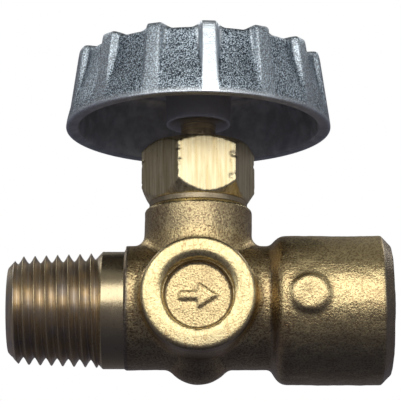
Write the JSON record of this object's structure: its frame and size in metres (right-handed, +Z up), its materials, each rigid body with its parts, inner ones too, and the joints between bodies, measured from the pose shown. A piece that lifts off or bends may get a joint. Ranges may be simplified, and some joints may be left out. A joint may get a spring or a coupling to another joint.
{
  "type": "propane control valve",
  "caption": "Small inline gas valve: forged brass body with a male and a female taper pipe thread, hex bonnet, two-piece stem and a ribbed cup-shaped handwheel.",
  "frame": {"origin": "on the flow axis, at the hand-tight plane of the male pipe thread", "axes": "+X along the flow from the male inlet to the female outlet, +Z up the stem to the handwheel, -Y out of the front boss"},
  "size_m": [0.0479, 0.034, 0.0428],
  "materials": {
    "forged_brass": "dull forged skin, tumbled, darkened in the hollows",
    "machined_brass": "turned and milled",
    "gasket_aluminium": "soft flat sealing ring",
    "spring_steel": "plain spring steel",
    "plated_steel": "zinc plated",
    "seal_rubber": "black nitrile rubber",
    "cast_zinc": "die-cast zinc, sparkling rough panels and smooth ribs"
  },
  "bodies": {
    "body": {"valve_body": "forged_brass", "bonnet": "machined_brass", "bonnet_gasket": "gasket_aluminium", "stem_retaining_ring": "spring_steel", "thrust_washer": "machined_brass"},
    "handwheel_and_stem": {"upper_stem": "machined_brass", "stem_oring_lower": "seal_rubber", "stem_oring_upper": "seal_rubber", "handwheel": "cast_zinc", "lock_washer": "spring_steel", "handwheel_screw": "plated_steel"},
    "lower_stem": {"lower_stem": "machined_brass", "seat_disc": "seal_rubber"}
  },
  "joints": [
    {"name": "handwheel_turn", "type": "hinge", "parent": "body", "child": "handwheel_and_stem", "pos_m": [0.01796, 0, 0], "axis": [0, 0, 1], "range_deg": [0, 720]},
    {"name": "lower_stem_lift", "type": "slide", "parent": "handwheel_and_stem", "child": "lower_stem", "axis": [0, 0, 1], "range_m": [0, 0.002]}
  ],
  "couplings": [
    {"joint": "lower_stem_lift", "follows": "handwheel_turn", "m_per_rad": 0.00015915}
  ]
}
